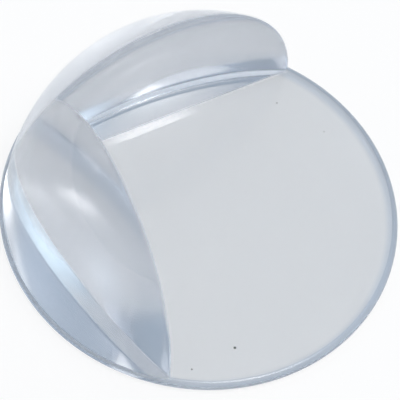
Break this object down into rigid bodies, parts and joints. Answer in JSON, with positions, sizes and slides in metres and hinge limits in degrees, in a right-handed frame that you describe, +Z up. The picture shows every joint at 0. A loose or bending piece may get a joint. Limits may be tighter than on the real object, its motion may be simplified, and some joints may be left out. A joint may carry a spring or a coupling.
{
  "type": "corner guard",
  "caption": "Clear soft-plastic ball-type guard for a table corner: a thin round plate with thick ball-shaped walls at a right angle around a square pocket.",
  "frame": {"origin": "centre of the plate's flat outer face, on which the part lies", "axes": "+Z up from the plate towards the walls; the walls stand on the -X and +Y sides, so the pocket opens towards +X and -Y"},
  "size_m": [0.034, 0.034, 0.016],
  "materials": {
    "clear_pvc": "water-clear soft PVC with a smooth moulded surface and a faint blue-grey tint in thick sections"
  },
  "bodies": {
    "root": {"corner_guard": "clear_pvc"}
  },
  "joints": []
}
